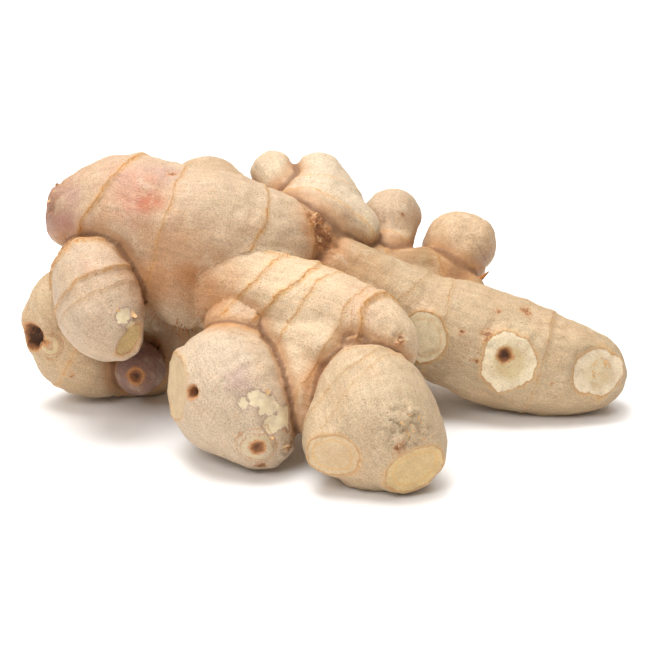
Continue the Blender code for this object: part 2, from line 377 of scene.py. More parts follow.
def smooth_point(stations, at):
    """The point at a share 0 to 1 of the span between the middle two of four stations."""
    before, start, end, after = stations
    slope_in = (end - before) / 2
    slope_out = (after - start) / 2
    cubic = 2 * at**3 - 3 * at**2 + 1, at**3 - 2 * at**2 + at, -2 * at**3 + 3 * at**2, at**3 - at**2
    return cubic[0] * start + cubic[1] * slope_in + cubic[2] * end + cubic[3] * slope_out


def beads_along(stations):
    """Beads close enough together to read as one limb: x, y, z and radius."""
    ends = [2 * stations[0] - stations[1], *stations, 2 * stations[-1] - stations[-2]]
    beads = []
    for first in range(len(stations) - 1):
        span = (stations[first + 1].xyz - stations[first].xyz).length
        count = max(2, round(span / (BEAD_SPACING * min(stations[first].w, stations[first + 1].w))))
        beads += [smooth_point(ends[first : first + 4], step / count) for step in range(count)]
    return beads + [stations[-1]]


def bead_at(beads, share):
    return beads[round(share * (len(beads) - 1))]


def grow_limbs():
    """Every limb's beads, in millimetres, each limb starting on the one it buds from."""
    grown = {}
    for name, (parent, share, girth, steps) in LIMBS.items():
        place = OLD_END if parent is None else bead_at(grown[parent], share).xyz
        stations = [Vector((*place, girth / 2))]
        for length, heading, climb, girth in steps:
            place = place + length * way(heading, climb)
            stations.append(Vector((*place, girth / 2)))
        grown[name] = beads_along(stations)
    return grown


def set_down(grown):
    """The beads turned and shifted so that the root lies on its three knuckles, over the origin."""
    for _ in range(ROUNDS_TO_SETTLE):
        feet = []
        for limb in RESTS_ON:
            lowest = min(grown[limb], key=lambda bead: bead.z - bead.w)
            feet.append(Vector((lowest.x, lowest.y, lowest.z - lowest.w)))
        up = (feet[1] - feet[0]).cross(feet[2] - feet[0])
        turn = (up if up.z > 0 else -up).rotation_difference(Vector((0, 0, 1)))
        drop = (turn @ feet[0]).z + GIVE
        for limb, beads in grown.items():
            grown[limb] = [Vector((*(turn @ bead.xyz - Vector((0, 0, drop))), bead.w)) for bead in beads]
    every = [bead for beads in grown.values() for bead in beads]
    middle = Vector((0, 0, 0))
    for axis in (0, 1):
        low = min(bead[axis] - bead.w for bead in every)
        high = max(bead[axis] + bead.w for bead in every)
        middle[axis] = (low + high) / 2
    for limb, beads in grown.items():
        grown[limb] = [Vector((*(bead.xyz - middle), bead.w)) for bead in beads]
    return grown


GROWN = set_down(grow_limbs())


def object_from(shape, name):
    """A named object made from a bmesh, which is then freed."""
    data = bpy.data.meshes.new(name)
    shape.to_mesh(data)
    shape.free()
    thing = bpy.data.objects.new(name, data)
    bpy.context.scene.collection.objects.link(thing)
    return thing


def fused_beads(voxel, smoothing):
    """Every limb's beads, fused into one closed skin and softened."""
    beads = bmesh.new()
    for limb in GROWN.values():
        for bead in limb:
            place = Matrix.Translation(bead.xyz * MM) @ Matrix.Scale(bead.w * MM, 4)
            bmesh.ops.create_icosphere(beads, subdivisions=BEAD_SUBDIVISIONS, radius=1.0, matrix=place)
    rough = object_from(beads, "rough_skin")
    fuse = rough.modifiers.new("fuse the beads", "REMESH")
    fuse.mode = "VOXEL"
    fuse.voxel_size = voxel
    soften = rough.modifiers.new("soften the skin", "SMOOTH")
    soften.factor = 0.5
    soften.iterations = smoothing
    worked = rough.evaluated_get(bpy.context.evaluated_depsgraph_get())
    mesh = bpy.data.meshes.new_from_object(worked)
    bpy.data.objects.remove(rough)
    mesh.name = "ginger_skin"
    return mesh


def smooth_share(value, low, high):
    """0 below low, 1 above high, and a smooth rise between."""
    share = np.clip((value - low) / (high - low), 0, 1)
    return share * share * (3 - 2 * share)


def hump(value, width):
    return np.exp(-((value / width) ** 2))


def drift(places, size, seed):
    """A smooth random number between -1 and 1 at each place, that changes over the size given."""
    shifted = (places / size + seed * SEED_STEP).tolist()
    return np.array([noise.noise(place) for place in shifted])


def unit(direction):
    return direction / np.linalg.norm(direction)


def reach_of_limb(beads, places):
    """How far each place is outside the beads, how far along them, and which way off their middle line."""
    beads = np.array([tuple(bead) for bead in beads])
    line, radius = beads[:, :3], beads[:, 3]
    apart = np.sqrt(np.maximum(
        (places**2).sum(1)[:, None] + (line**2).sum(1)[None] - 2 * places @ line.T, 0
    ))
    nearest = (apart - radius[None]).argmin(1)
    outside = (apart - radius[None])[np.arange(len(places)), nearest]
    onward = np.gradient(line, axis=0)
    onward /= np.linalg.norm(onward, axis=1)[:, None]
    travelled = np.concatenate([[0], np.cumsum(np.linalg.norm(np.diff(line, axis=0), axis=1))])
    offset = places - line[nearest]
    slid = (offset * onward[nearest]).sum(1)
    return outside, travelled[nearest] + slid, offset - slid[:, None] * onward[nearest]


class Skin:
    """The skin's points while they are worked, and what the paint needs to know about each of them."""

    def __init__(self, mesh):
        self.mesh = mesh
        self.count = len(mesh.vertices)
        self.places = self.read("co") / MM
        self.outward = self.read("normal")
        faces = [list(face.vertices) for face in mesh.polygons]
        self.tree = BVHTree.FromPolygons(self.places.tolist(), faces)
        self.sort_by_limb()
        for outside in ("ring", "eye"):
            setattr(self, outside, np.full(self.count, FAR))
        for inside in ("flesh", "peeled", "pit"):
            setattr(self, inside, np.full(self.count, -FAR))
        for share in ("golden", "porous", "banded", "stain", "rough"):
            setattr(self, share, np.zeros(self.count))
        self.flesh_colour = np.tile(hue("CDB285"), (self.count, 1))
        self.disc = np.zeros((self.count, 3))

    def read(self, what):
        numbers = np.empty(self.count * 3, np.float32)
        self.mesh.vertices.foreach_get(what, numbers)
        return numbers.reshape(-1, 3).astype(float)

    def sort_by_limb(self):
        """Finds each point's limb, its fibre coordinates and how close it is to a fold between limbs."""
        own = sorted({PART_OF.get(limb, limb) for limb in LIMBS})
        outside = {limb: np.full(self.count, 1e3) for limb in own}
        grain = {}
        starts = []
        for limb, (parent, *_) in LIMBS.items():
            beads = GROWN[limb]
            start = round(SKIN_STARTS.get(limb, 0) * len(beads))
            if start:
                elder = PART_OF.get(parent, parent)
                gap = reach_of_limb(beads[: start + 1], self.places)[0]
                outside[elder] = np.minimum(outside[elder], gap)
                onward = (beads[start + 1].xyz - beads[start].xyz).normalized()
                past = (self.places - beads[start].xyz) @ np.array(onward)
                starts.append((gap, elder, np.abs(past)))
            gap, along, offset = reach_of_limb(beads[start:], self.places)
            owner = PART_OF.get(limb, limb)
            outside[owner] = np.minimum(outside[owner], gap)
            if limb == owner:
                grain[owner] = np.column_stack([along, offset[:, 1], offset[:, 2] + offset[:, 0]])
        gaps = np.column_stack([outside[limb] for limb in own])
        nearest = gaps.argmin(1)
        self.limb = np.array(own)[nearest]
        self.grain = np.zeros((self.count, 3))
        self.skin_colour = np.zeros((self.count, 3))
        closeness = np.exp(-np.maximum(gaps - gaps.min(1)[:, None], 0) / COLOUR_BLUR)
        for at, limb in enumerate(own):
            mine = nearest == at
            self.grain[mine] = grain[limb][mine]
            self.skin_colour += closeness[:, at : at + 1] * np.array(LIMB_COLOURS[limb])
        self.skin_colour /= closeness.sum(1)[:, None]
        clumps = sorted({RUNS_INTO.get(limb, limb) for limb in own})
        clumped = np.column_stack([
            np.min([outside[limb] for limb in own if RUNS_INTO.get(limb, limb) == clump], axis=0)
            for clump in clumps
        ])
        closest = np.sort(clumped, axis=1)
        self.fold = closest[:, 1] - closest[:, 0]
        for gap, elder, past in starts:
            self.fold = np.where(gap <= outside[elder], np.maximum(self.fold, past), self.fold)

    def raise_by(self, height):
        self.places += self.outward * height[:, None]

    def spot(self, limb, share, heading, climb):
        """The place where the way out from the limb's middle meets the skin."""
        bead = bead_at(GROWN[limb], share)
        out = way(heading, climb)
        hit = self.tree.ray_cast(bead.xyz, out, bead.w * REACH_OF_A_SPOT)[0]
        return np.array(hit if hit is not None else bead.xyz + bead.w * out)

    def near(self, spot):
        return np.linalg.norm(self.places - self.spot(*spot), axis=1)

    def add_lumps(self):
        """Nothing grown is a true tube: slow swells, and smaller dents on top of them."""
        swell = 0.9 * drift(self.places, 15, 1) + 0.45 * drift(self.places, 6, 2)
        swell += 0.14 * drift(self.places, 2.5, 3)
        ridges = 0.3 * drift(self.grain * (0.3, 1, 1), 3.2, 12)
        ridges += 0.22 * drift(self.grain * (1, 0.3, 0.3), 2.4, 13)
        self.raise_by((swell + ridges) * smooth_share(self.fold, 0, 4))

    def add_rings(self):
        """Each scale rises over its last few millimetres and ends in a lip, over a slight waist."""
        for limb, share, turn, tip, proud, waist, golden in rows(RINGS):
            mine = self.limb == limb
            here = self.places[mine]
            beads = GROWN[limb]
            at = min(max(round(share * (len(beads) - 1)), 1), len(beads) - 2)
            onward = (beads[at + 1].xyz - beads[at - 1].xyz).normalized()
            heading = math.degrees(math.atan2(onward.y, onward.x)) + turn
            climb = math.degrees(math.asin(onward.z)) + tip
            past = (here - np.array(beads[at].xyz)) @ np.array(way(heading, climb))
            past += 0.9 * drift(here, 7, 4) + 0.35 * drift(here, 2.2, 5)
            lip = proud * smooth_share(past, -3.5, -0.2) * (1 - smooth_share(past, -0.1, 0.7))
            dip = waist * (0.2 * hump(past - 0.5, 0.8) + 0.7 * hump(past, 5))
            height = np.zeros(self.count)
            height[mine] = lip - dip
            self.raise_by(height)
            nearer = np.zeros(self.count, bool)
            nearer[mine] = np.abs(past) < np.abs(self.ring[mine])
            spread = np.zeros(self.count)
            spread[mine] = past
            self.ring[nearer] = spread[nearer]
            self.golden[nearer] = golden

    def add_folds(self):
        """Limbs press into each other where they meet."""
        self.raise_by(-0.8 * hump(self.fold, 1.5) - 0.6 * hump(self.fold, 3))

    def add_cuts(self):
        """Each cut face is drawn flat inside its ragged oval, with a low rim."""
        for limb, share, heading, climb, bite, (half_width, half_height), turn, colour, style in CUT_FACES:
            out = np.array(way(heading, climb))
            bead = bead_at(GROWN[limb], share)
            place = np.array(bead.xyz) + (bead.w - bite) * out
            lift = PITH_LIFT if style == "porous" else 0.0
            side = unit(np.cross((0, 0, 1), out))
            up = np.cross(out, side)
            turned = math.radians(turn)
            across = side * math.cos(turned) + up * math.sin(turned)
            along = up * math.cos(turned) - side * math.sin(turned)
            offset = self.places - place
            local = np.column_stack([offset @ across, offset @ along, offset @ out])
            size = math.sqrt(half_width * half_height)
            oval = np.hypot(local[:, 0] / half_width, local[:, 1] / half_height)
            ragged = 1.8 if style in ("porous", "scarred") else 1.0
            waver = 0.09 * drift(self.places, 5, 6) + 0.05 * drift(self.places, 2, 16)
            oval += ragged * waver * (oval < 1.6)
            faces_out = (self.outward @ out > 0.1) & (np.abs(local[:, 2]) < 9)
            pull = np.where(faces_out, 1 - smooth_share(oval, 0.95, 1.3), 0)
            level = lift * (1 - smooth_share(oval, 0.85, 1.02)) + 0.25 * hump(oval - 1.03, 0.09)
            level += 0.22 * drift(self.places, 1.8, 7) + 0.3 * drift(self.places, 4, 17)
            self.places += out[None] * (pull * (level - local[:, 2]))[:, None]
            inside = faces_out & (oval < 1.5)
            self.flesh[inside] = ((1 - oval) * size)[inside]
            self.flesh_colour[inside] = colour
            self.disc[inside] = np.column_stack([local[:, 0], local[:, 1], oval * OVAL_EDGE])[inside]
            self.porous[inside] = POROUS.get(style, 0.0)
            self.banded[inside] = BANDED.get(style, 0.0)

    def add_peeled(self):
        for *spot, reach in rows(PEELED):
            apart = self.near(spot) * (1 + 0.45 * drift(self.places, 3, 14))
            self.peeled = np.maximum(self.peeled, reach - apart)
        self.raise_by(-0.3 * smooth_share(self.peeled, -0.3, 0.5))

    def add_bud_eyes(self):
        for *spot, reach, height in BUD_EYES:
            part = self.near(spot) / reach
            self.raise_by(height * (1 - smooth_share(part, 0.75, 1.1)) - 0.25 * hump(part - 1.15, 0.12))
            self.eye = np.minimum(self.eye, part)

    def add_pits(self):
        for *spot, reach, depth in PITS:
            apart = self.near(spot) + 0.3 * drift(self.places, 1.5, 8)
            part = apart / reach
            sink = depth * (1 - smooth_share(part, 0.35, 1.05)) - 0.3 * hump(part - 1.25, 0.2)
            self.places -= np.array(way(*spot[2:]))[None] * sink[:, None]
            self.pit = np.maximum(self.pit, reach - apart)

    def add_stains(self):
        chance = random.Random(SPECKLE_SEED)
        specks = [
            (chance.choice(list(LIMBS)), chance.random(), chance.uniform(-180, 180), chance.uniform(-30, 80),
             chance.uniform(0.25, 0.7), 0.7)
            for _ in range(SPECKLES)
        ]
        for *spot, reach, strength in rows(STAINS) + specks:
            part = self.near(spot) / reach
            self.stain = np.maximum(self.stain, strength * (1 - smooth_share(part, 0.2, 1.5)))

    def add_washes(self):
        for *spot, reach, colour, strength in rows(WASHES):
            apart = self.near(spot) * (1 + 0.5 * drift(self.places, reach * 0.7, 9))
            share = strength * hump(apart, reach * 0.85)
            self.skin_colour += share[:, None] * (np.array(colour) - self.skin_colour)

    def add_rough_places(self):
        for *spot, reach in rows(ROUGH_PLACES):
            self.rough = np.maximum(self.rough, 1 - smooth_share(self.near(spot) / reach, 0.5, 1.2))
        creases = 1 - np.abs(drift(self.places, 3.4, 10)) * 2.2
        self.raise_by(self.rough * (1.1 * drift(self.places, 3, 11) - 0.9 * smooth_share(creases, 0.5, 1)))

    def rest_on_table(self):
        self.places[:, 2] = np.maximum(self.places[:, 2], 0.0)

    def write(self):
        self.mesh.vertices.foreach_set("co", (self.places * MM).astype(np.float32).ravel())
        distances = ("ring", "fold", "flesh", "peeled", "pit", "eye")
        shares = ("golden", "porous", "banded", "stain", "rough")
        for name in distances + shares:
            self.write_layer(name, "FLOAT", "value", getattr(self, name))
        for name in ("grain", "disc"):
            self.write_layer(name, "FLOAT_VECTOR", "vector", getattr(self, name))
        for name in ("skin_colour", "flesh_colour"):
            whole = np.column_stack([getattr(self, name), np.ones(self.count)])
            self.write_layer(name, "FLOAT_COLOR", "color", whole)
        self.mesh.update()

    def write_layer(self, name, kind, what, values):
        layer = self.mesh.attributes.new(name, kind, "POINT")
        layer.data.foreach_set(what, values.astype(np.float32).ravel())


class Paint:
    """A material's nodes, added one at a time. Sizes are in millimetres."""

    def __init__(self, name):
        self.material = bpy.data.materials.new(name)
        self.material.use_nodes = True
        self.tree = self.material.node_tree
        self.shader = self.tree.nodes["Principled BSDF"]
        self.here = self.scaled(self.add("ShaderNodeTexCoord").outputs["Object"], 1 / MM)

    def add(self, kind, inputs=None, **settings):
        node = self.tree.nodes.new(kind)
        for name, value in settings.items():
            setattr(node, name, value)
        for name, value in (inputs or {}).items():
            self.set(node.inputs[name], value)
        return node

    def set(self, socket, value):
        if isinstance(value, bpy.types.NodeSocket):
            self.tree.links.new(value, socket)
        else:
            socket.default_value = value

    def known(self, name, output="Fac"):
        """What the mesh says about each point."""
        return self.add("ShaderNodeAttribute", attribute_name=name).outputs[output]

    def grain(self, size, detail=2.0, rough=0.5, at=None, warp=0.0):
        """Cloudy noise from 0 to 1, with spots of about the size given."""
        inputs = {"Vector": at or self.here, "Scale": 1 / size}
        inputs |= {"Detail": detail, "Roughness": rough, "Distortion": warp}
        return self.add("ShaderNodeTexNoise", inputs).outputs["Fac"]

    def cells(self, size, at=None):
        """The distance to the nearest of many scattered spots, which lie about the size given apart."""
        inputs = {"Vector": at or self.here, "Scale": 1 / size}
        return self.add("ShaderNodeTexVoronoi", inputs).outputs["Distance"]

    def stretched(self, vector, factors):
        return self.add("ShaderNodeVectorMath", {0: vector, 1: factors}, operation="MULTIPLY").outputs[0]

    def maths(self, operation, first, second=0.0):
        return self.add("ShaderNodeMath", {0: first, 1: second}, operation=operation).outputs[0]

    def times(self, first, second):
        return self.maths("MULTIPLY", first, second)

    def gap(self, value, number):
        """How far a value is from a number, either way."""
        return self.maths("ABSOLUTE", self.maths("SUBTRACT", value, number))

    def frayed(self, value, cloud, amount, low=0.2, high=0.8):
        """The value, moved by up to the amount either way so that what it bounds looks torn."""
        return self.maths("ADD", value, self.spread(cloud, low, high, -amount, amount))

    def spread(self, value, low, high, to_low=0.0, to_high=1.0):
        """A smooth step from one number to another as the value goes from low to high."""
        inputs = {0: value, 1: low, 2: high, 3: to_low, 4: to_high}
        return self.add("ShaderNodeMapRange", inputs, interpolation_type="SMOOTHSTEP").outputs[0]

    def mix(self, share, first, second):
        """The first colour with a share of the second one over it."""
        node = self.add("ShaderNodeMix", {0: share}, data_type="RGBA")
        for socket, colour in ((node.inputs[6], first), (node.inputs[7], second)):
            self.set(socket, colour if isinstance(colour, bpy.types.NodeSocket) else (*colour, 1.0))
        return node.outputs[2]

    def scaled(self, vector, factor):
        return self.add("ShaderNodeVectorMath", {0: vector, 3: factor}, operation="SCALE").outputs[0]

    def total(self, values):
        whole = values[0]
        for value in values[1:]:
            whole = self.maths("ADD", whole, value)
        return whole

    def bump(self, height, strength, depth):
        inputs = {"Height": height, "Strength": strength, "Distance": depth * MM}
        return self.add("ShaderNodeBump", inputs).outputs["Normal"]


def cut_flesh(paint, settings, ragged, cloud):
    """The flesh of a cut or snapped face with its golden ring and pith, and the share of pores in it."""
    disc = paint.known("disc", "Vector")
    oval = paint.frayed(paint.add("ShaderNodeSeparateXYZ", {0: disc}).outputs[2], ragged, 0.6)
    porous = paint.known("porous")
    pores = paint.times(paint.spread(paint.cells(0.75, disc), 0.12, 0.3, 1.0, 0.0), porous)
    mottle = paint.spread(paint.grain(0.5, 3.0, 0.7), 0.25, 0.75, 0.84, 1.12)
    shade = paint.total([mottle, paint.spread(cloud, 0.3, 0.7, -0.08, 0.06)])
    flesh = paint.scaled(paint.known("flesh_colour", "Color"), shade)
    band = paint.times(paint.spread(paint.gap(oval, 7.4), 0.2, 0.7, 0.45, 0.0), paint.known("banded"))
    flesh = paint.mix(band, flesh, settings.golden_edge)
    pith = paint.times(paint.spread(oval, 4.0, 7.0, 0.75, 0.0), porous)
    flesh = paint.mix(pith, flesh, settings.porous_core)
    flesh = paint.mix(paint.times(pores, paint.spread(oval, 5.0, 8.0, 0.6, 0.1)), flesh, settings.brown_mark_and_shade)
    return flesh, pores


def skin_paint(settings):
    """Dry papery skin with fibres, specks and golden scale edges, over cream flesh, with painted shade in
    its folds, creases and pits.
    """
    paint = Paint("ginger_skin")
    along = paint.known("grain", "Vector")
    fibres = paint.grain(0.55, 3.0, 0.6, paint.stretched(along, (0.10, 1.0, 1.0)), 0.3)
    long_fibres = paint.grain(1.6, 2.0, 0.5, paint.stretched(along, (0.08, 1.0, 1.0)), 0.4)
    wrinkles = paint.grain(1.8, 3.0, 0.6, paint.stretched(along, (1.0, 0.2, 0.2)), 0.8)
    stipple = paint.grain(0.42, 1.0, 0.7)
    fine_stipple = paint.grain(0.2, 1.0, 0.6)
    cloud = paint.grain(5.0, 4.0, 0.6)
    wide_cloud = paint.grain(14.0, 3.0, 0.5)
    ragged = paint.grain(1.3, 4.0, 0.65)
    broken = paint.spread(paint.grain(3.0, 2.0), 0.35, 0.6, 0.5, 1.0)

    # The plain skin, with creases and specks.
    skin = paint.known("skin_colour", "Color")
    skin = paint.mix(paint.spread(wide_cloud, 0.42, 0.68, 0.0, 0.2), skin, settings.orange_tint)
    skin = paint.mix(paint.spread(cloud, 0.5, 0.72, 0.0, 0.35), skin, settings.pale_tint)
    skin = paint.scaled(skin, paint.total([
        paint.spread(stipple, 0.3, 0.7, 0.74, 1.02),
        paint.spread(fine_stipple, 0.3, 0.7, -0.08, 0.08),
        paint.spread(fibres, 0.3, 0.7, -0.04, 0.04),
        paint.spread(long_fibres, 0.3, 0.7, -0.05, 0.05),
    ]))
    # The fine creases are tinted darker, partly the skin's own lines and partly painted shade.
    creased = paint.spread(paint.gap(wrinkles, 0.5), 0.0, 0.05, 1.0, 0.0)
    creases = paint.times(creased, paint.spread(cloud, 0.45, 0.65, 0.0, 0.16))
    skin = paint.mix(creases, skin, settings.fold_tint_and_shade)
    specks = paint.times(paint.spread(paint.cells(1.7), 0.10, 0.2, 1.0, 0.0), paint.spread(cloud, 0.45, 0.6))
    skin = paint.mix(paint.times(specks, 0.5), skin, settings.brown_mark_and_shade)

    # The edges of the scales, golden beside a thin brown line.
    edge = paint.maths("ABSOLUTE", paint.frayed(paint.known("ring"), ragged, 0.5))
    golden = paint.times(paint.known("golden"), broken)
    skin = paint.mix(paint.times(paint.spread(edge, 0.0, 1.4, 0.7, 0.0), golden), skin, settings.golden_edge)
    skin = paint.mix(paint.times(paint.spread(edge, 0.0, 0.3, 0.95, 0.0), golden), skin, settings.brown_edge)

    # The folds between limbs: an orange-brown tint with painted shade over it, darker the deeper the fold.
    fold = paint.frayed(paint.known("fold"), cloud, 0.4, 0.3, 0.7)
    skin = paint.mix(paint.spread(fold, 0.3, 4.5, 0.6, 0.0), skin, settings.fold_tint_and_shade)
    # Painted shade, brown and then near black, at the bottom of each fold.
    skin = paint.mix(paint.spread(fold, 0.2, 1.3, 0.45, 0.0), skin, settings.brown_mark_and_shade)
    skin = paint.mix(paint.spread(paint.known("fold"), 0.3, 1.0, 0.35, 0.0), skin, settings.pit_and_fold_shade)

    stain = paint.frayed(paint.known("stain"), ragged, 0.45)
    skin = paint.mix(paint.spread(stain, 0.15, 0.75, 0.0, 0.6), skin, settings.orange_mark)
    skin = paint.mix(paint.spread(stain, 0.55, 0.8, 0.0, 0.85), skin, settings.brown_mark_and_shade)

    peeled = paint.frayed(paint.known("peeled"), ragged, 0.7)
    skin = paint.mix(paint.spread(peeled, -0.9, -0.1, 0.0, 0.7), skin, settings.peeled_rim)
    bared = paint.times(paint.spread(peeled, -0.1, 0.3), paint.spread(cloud, 0.3, 0.55, 0.5, 1.0))
    skin = paint.mix(bared, skin, settings.peeled_flesh)

    # The cut faces, with a golden rim and a thin brown line round them.
    flesh, pores = cut_flesh(paint, settings, ragged, cloud)
    cut = paint.frayed(paint.known("flesh"), ragged, 0.35)
    skin = paint.mix(paint.spread(cut, -1.4, -0.1, 0.0, 0.35), skin, settings.golden_edge)
    bared = paint.times(paint.spread(cut, 0.0, 0.3), paint.spread(cloud, 0.3, 0.55, 0.55, 1.0))
    skin = paint.mix(bared, skin, flesh)
    rim = paint.times(paint.spread(paint.maths("ABSOLUTE", cut), 0.05, 0.4, 0.4, 0.0), broken)
    skin = paint.mix(rim, skin, settings.brown_edge)

    # The dormant buds, a pale ring between three thin brown ones.
    eye = paint.frayed(paint.known("eye"), cloud, 0.16, 0.3, 0.7)
    iris = paint.spread(paint.gap(eye, 0.66), 0.04, 0.26, 0.45, 0.0)
    skin = paint.mix(paint.times(iris, broken), skin, settings.iris)
    for turn in (0.4, 0.86, 1.12):
        lash = paint.spread(paint.gap(eye, turn), 0.01, 0.08, 0.5, 0.0)
        skin = paint.mix(paint.times(lash, broken), skin, settings.brown_edge)

    # The pits: orange round the rim, brown inside, and painted shade at their deepest.
    pit = paint.frayed(paint.known("pit"), ragged, 0.4)
    skin = paint.mix(paint.spread(pit, -0.8, 0.1, 0.0, 0.8), skin, settings.orange_mark)
    skin = paint.mix(paint.spread(pit, 0.0, 0.6, 0.0, 0.85), skin, settings.brown_mark_and_shade)
    skin = paint.mix(paint.spread(pit, 0.7, 1.8, 0.0, 0.9), skin, settings.pit_and_fold_shade)

    bare = paint.maths("MAXIMUM", paint.spread(peeled, -0.1, 0.1), paint.spread(cut, 0.0, 0.2))
    relief = paint.total([
        paint.times(stipple, 0.16),
        paint.times(fine_stipple, 0.06),
        paint.times(creased, -0.03),
        paint.times(fibres, 0.05),
        paint.times(long_fibres, 0.15),
        paint.times(cloud, 0.5),
        paint.spread(edge, 0.0, 0.4, -0.1, 0.0),
        paint.times(bare, -0.15),
        paint.times(paint.known("rough"), paint.times(ragged, 0.8)),
        paint.times(pores, -0.15),
    ])
    dullness = paint.total([paint.spread(stipple, 0.2, 0.8, 0.5, 0.66), paint.times(bare, -0.08)])
    paint.set(paint.shader.inputs["Base Color"], skin)
    paint.set(paint.shader.inputs["Roughness"], dullness)
    paint.set(paint.shader.inputs["Normal"], paint.bump(relief, 0.9, 1.0))
    paint.shader.inputs["Specular IOR Level"].default_value = 0.35
    paint.shader.inputs["Subsurface Weight"].default_value = 0.12
    paint.shader.inputs["Subsurface Radius"].default_value = (1.0, 0.55, 0.3)
    paint.shader.inputs["Subsurface Scale"].default_value = 0.002
    return paint.material


class GingerRootSettings(PropertyGroup):
    """The sizes and colours that a user would change."""

    voxel: FloatProperty(
        name="Skin fineness", description="Size of the skin's smallest facets",
        default=0.0008, min=0.0005, max=0.003, unit="LENGTH",
    )
    smoothing: IntProperty(
        name="Softening", description="How often the skin is softened where the limbs meet",
        default=7, min=0, max=30,
    )
    pale_tint: FloatVectorProperty(
        name="Pale tint", description="Colour of the skin's pale clouds",
        subtype="COLOR", default=hue("E0CDB0"),
    )
    orange_tint: FloatVectorProperty(
        name="Orange tint", description="Colour of the skin's warm clouds",
        subtype="COLOR", default=hue("CBA077"),
    )
    golden_edge: FloatVectorProperty(
        name="Golden edge", description="Colour beside a scale's edge",
        subtype="COLOR", default=hue("D6A35E"),
    )
    brown_edge: FloatVectorProperty(
        name="Brown edge", description="Colour of a scale's very edge",
        subtype="COLOR", default=hue("B0702F"),
    )
    # Partly painted shade: this colour darkens the folds between limbs and the fine creases.
    fold_tint_and_shade: FloatVectorProperty(
        name="Fold tint", description="Colour near a fold between limbs",
        subtype="COLOR", default=hue("B88352"),
    )
    orange_mark: FloatVectorProperty(
        name="Orange mark", description="Colour round a tear",
        subtype="COLOR", default=hue("BE8148"),
    )
    # Besides tears, specks, pores and pits, this colour is painted into the folds between limbs as shade.
    brown_mark_and_shade: FloatVectorProperty(
        name="Brown mark", description="Colour of tears and specks",
        subtype="COLOR", default=hue("7E4E2E"),
    )
    # Painted shade: the near black put inside pits and at the bottom of the deepest folds.
    pit_and_fold_shade: FloatVectorProperty(
        name="Dark mark", description="Colour inside pits and deep folds",
        subtype="COLOR", default=hue("3E2312"),
    )
    peeled_flesh: FloatVectorProperty(
        name="Peeled flesh", description="Colour where the skin is rubbed off",
        subtype="COLOR", default=hue("DFCFAC"),
    )
    iris: FloatVectorProperty(
        name="Bud iris", description="Colour of the ring in a dormant bud",
        subtype="COLOR", default=hue("CFC093"),
    )
    peeled_rim: FloatVectorProperty(
        name="Peeled rim", description="Colour of the skin's torn edge",
        subtype="COLOR", default=hue("AC9080"),
    )
    porous_core: FloatVectorProperty(
        name="Porous core", description="Colour of the pith in a snapped face",
        subtype="COLOR", default=hue("CDB887"),
    )
    camera_aim: FloatProperty(
        name="Camera aim", description="Height that the camera looks at",
        default=0.03, unit="LENGTH",
    )
    camera_distance: FloatProperty(
        name="Camera distance", description="From the camera to the middle of the root",
        default=0.6, min=0.2, unit="LENGTH",
    )
    camera_rise: FloatProperty(
        name="Camera rise", description="How far the camera looks down",
        default=math.radians(20), unit="ROTATION",
    )
    camera_lens: FloatProperty(
        name="Lens", description="Focal length in millimetres",
        default=117.3, min=20,
    )
    light_power: FloatProperty(
        name="Light power", description="Watts of the large soft light",
        default=4.3, min=0,
    )
    ceiling_power: FloatProperty(
        name="Ceiling power", description="Watts of the wide white ceiling",
        default=48.0, min=0,
    )
    surround: FloatProperty(
        name="Surround", description="Brightness of the white studio round the root",
        default=0.34, min=0,
    )


class GINGER_OT_skin(Operator):
    """Grow the root's skin from its limbs and paint it"""

    bl_idname = "ginger.skin"
    bl_label = "Ginger skin"

    def execute(self, context):
        settings = context.scene.ginger_root
        skin = Skin(fused_beads(settings.voxel, settings.smoothing))
        skin.add_lumps()
        skin.add_rings()
        skin.add_folds()
        skin.add_washes()
        skin.add_rough_places()
        skin.add_cuts()
        skin.add_peeled()
        skin.add_bud_eyes()
        skin.add_pits()
        skin.add_stains()
        skin.rest_on_table()
        skin.write()
        skin.mesh.shade_smooth()
        root = bpy.data.objects.new("ginger_skin", skin.mesh)
        context.scene.collection.objects.link(root)
        root.data.materials.clear()
        root.data.materials.append(skin_paint(settings))
        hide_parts("ginger_root")
        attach(root, "root")
        return {"FINISHED"}


def add_tube(shape, points, radius, sides=5):
    """Adds a closed tube along the points that narrows to its far end."""
    last = len(points) - 1
    facing = (points[1] - points[0]).to_track_quat("Z", "Y").to_matrix().to_4x4()
    place = Matrix.Translation(points[0]) @ facing
    foot = bmesh.ops.create_circle(shape, cap_ends=True, segments=sides, radius=radius, matrix=place)
    end = foot["verts"][0].link_faces[0]
    for at in range(1, last + 1):
        grown = bmesh.ops.extrude_face_region(shape, geom=[end])["geom"]
        end = next(item for item in grown if isinstance(item, bmesh.types.BMFace))
        corners = list(end.verts)
        bmesh.ops.translate(shape, verts=corners, vec=points[at] - points[at - 1])
        narrower = (1 - TAPER * at / last) / (1 - TAPER * (at - 1) / last)
        bmesh.ops.scale(shape, verts=corners, vec=(narrower,) * 3, space=Matrix.Translation(-points[at]))


def add_flake(shape, root, out, across, length, width, lift):
    """Adds a thin leaf that stands on its root edge and curls away from the skin."""
    leaf = bmesh.ops.create_grid(shape, x_segments=2, y_segments=2, size=0.5)["verts"]
    for corner in leaf:
        side, far = corner.co.x, corner.co.y + 0.5
        corner.co = Vector((side * width * (1 - FLAKE_TAPER * far), length * far, lift * length * far * far))
    turned = Matrix((across, out.cross(across), out)).transposed().to_4x4()
    bmesh.ops.transform(shape, matrix=Matrix.Translation(root) @ turned, verts=leaf)


